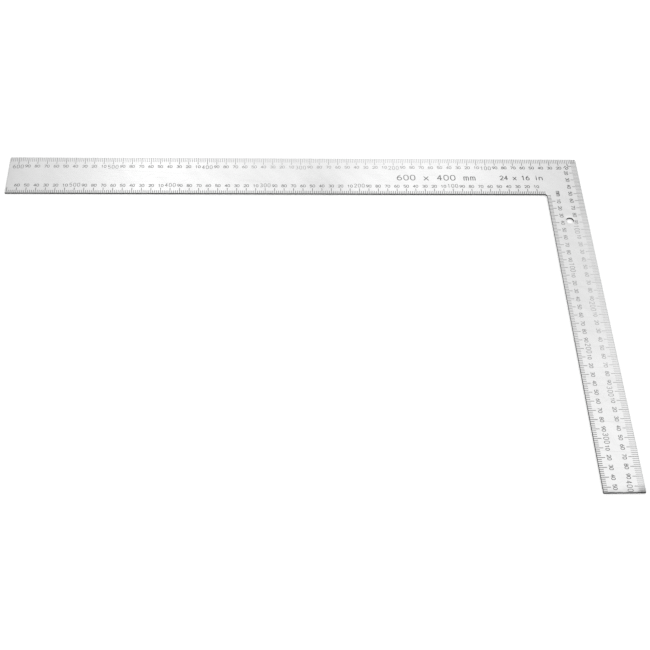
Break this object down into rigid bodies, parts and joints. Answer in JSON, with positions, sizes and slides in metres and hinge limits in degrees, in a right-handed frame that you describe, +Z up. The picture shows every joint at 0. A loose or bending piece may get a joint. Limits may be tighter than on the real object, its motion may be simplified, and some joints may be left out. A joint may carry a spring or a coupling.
{
  "type": "carpenter's square",
  "caption": "Flat L-shaped steel square with a wide long leg, a narrower short leg, metric scales along its edges and a hanging hole.",
  "frame": {"origin": "middle of the bounding box on the plane of the underside", "axes": "+X along the long leg towards the heel, +Y across the long leg towards its outer edge, +Z up out of the marked face"},
  "size_m": [0.6096, 0.4064, 0.002],
  "materials": {
    "satin_steel": "satin rolled stainless steel",
    "mark_fill": "matte black fill in the etched marks"
  },
  "bodies": {
    "root": {"square_body": "satin_steel"}
  },
  "joints": []
}
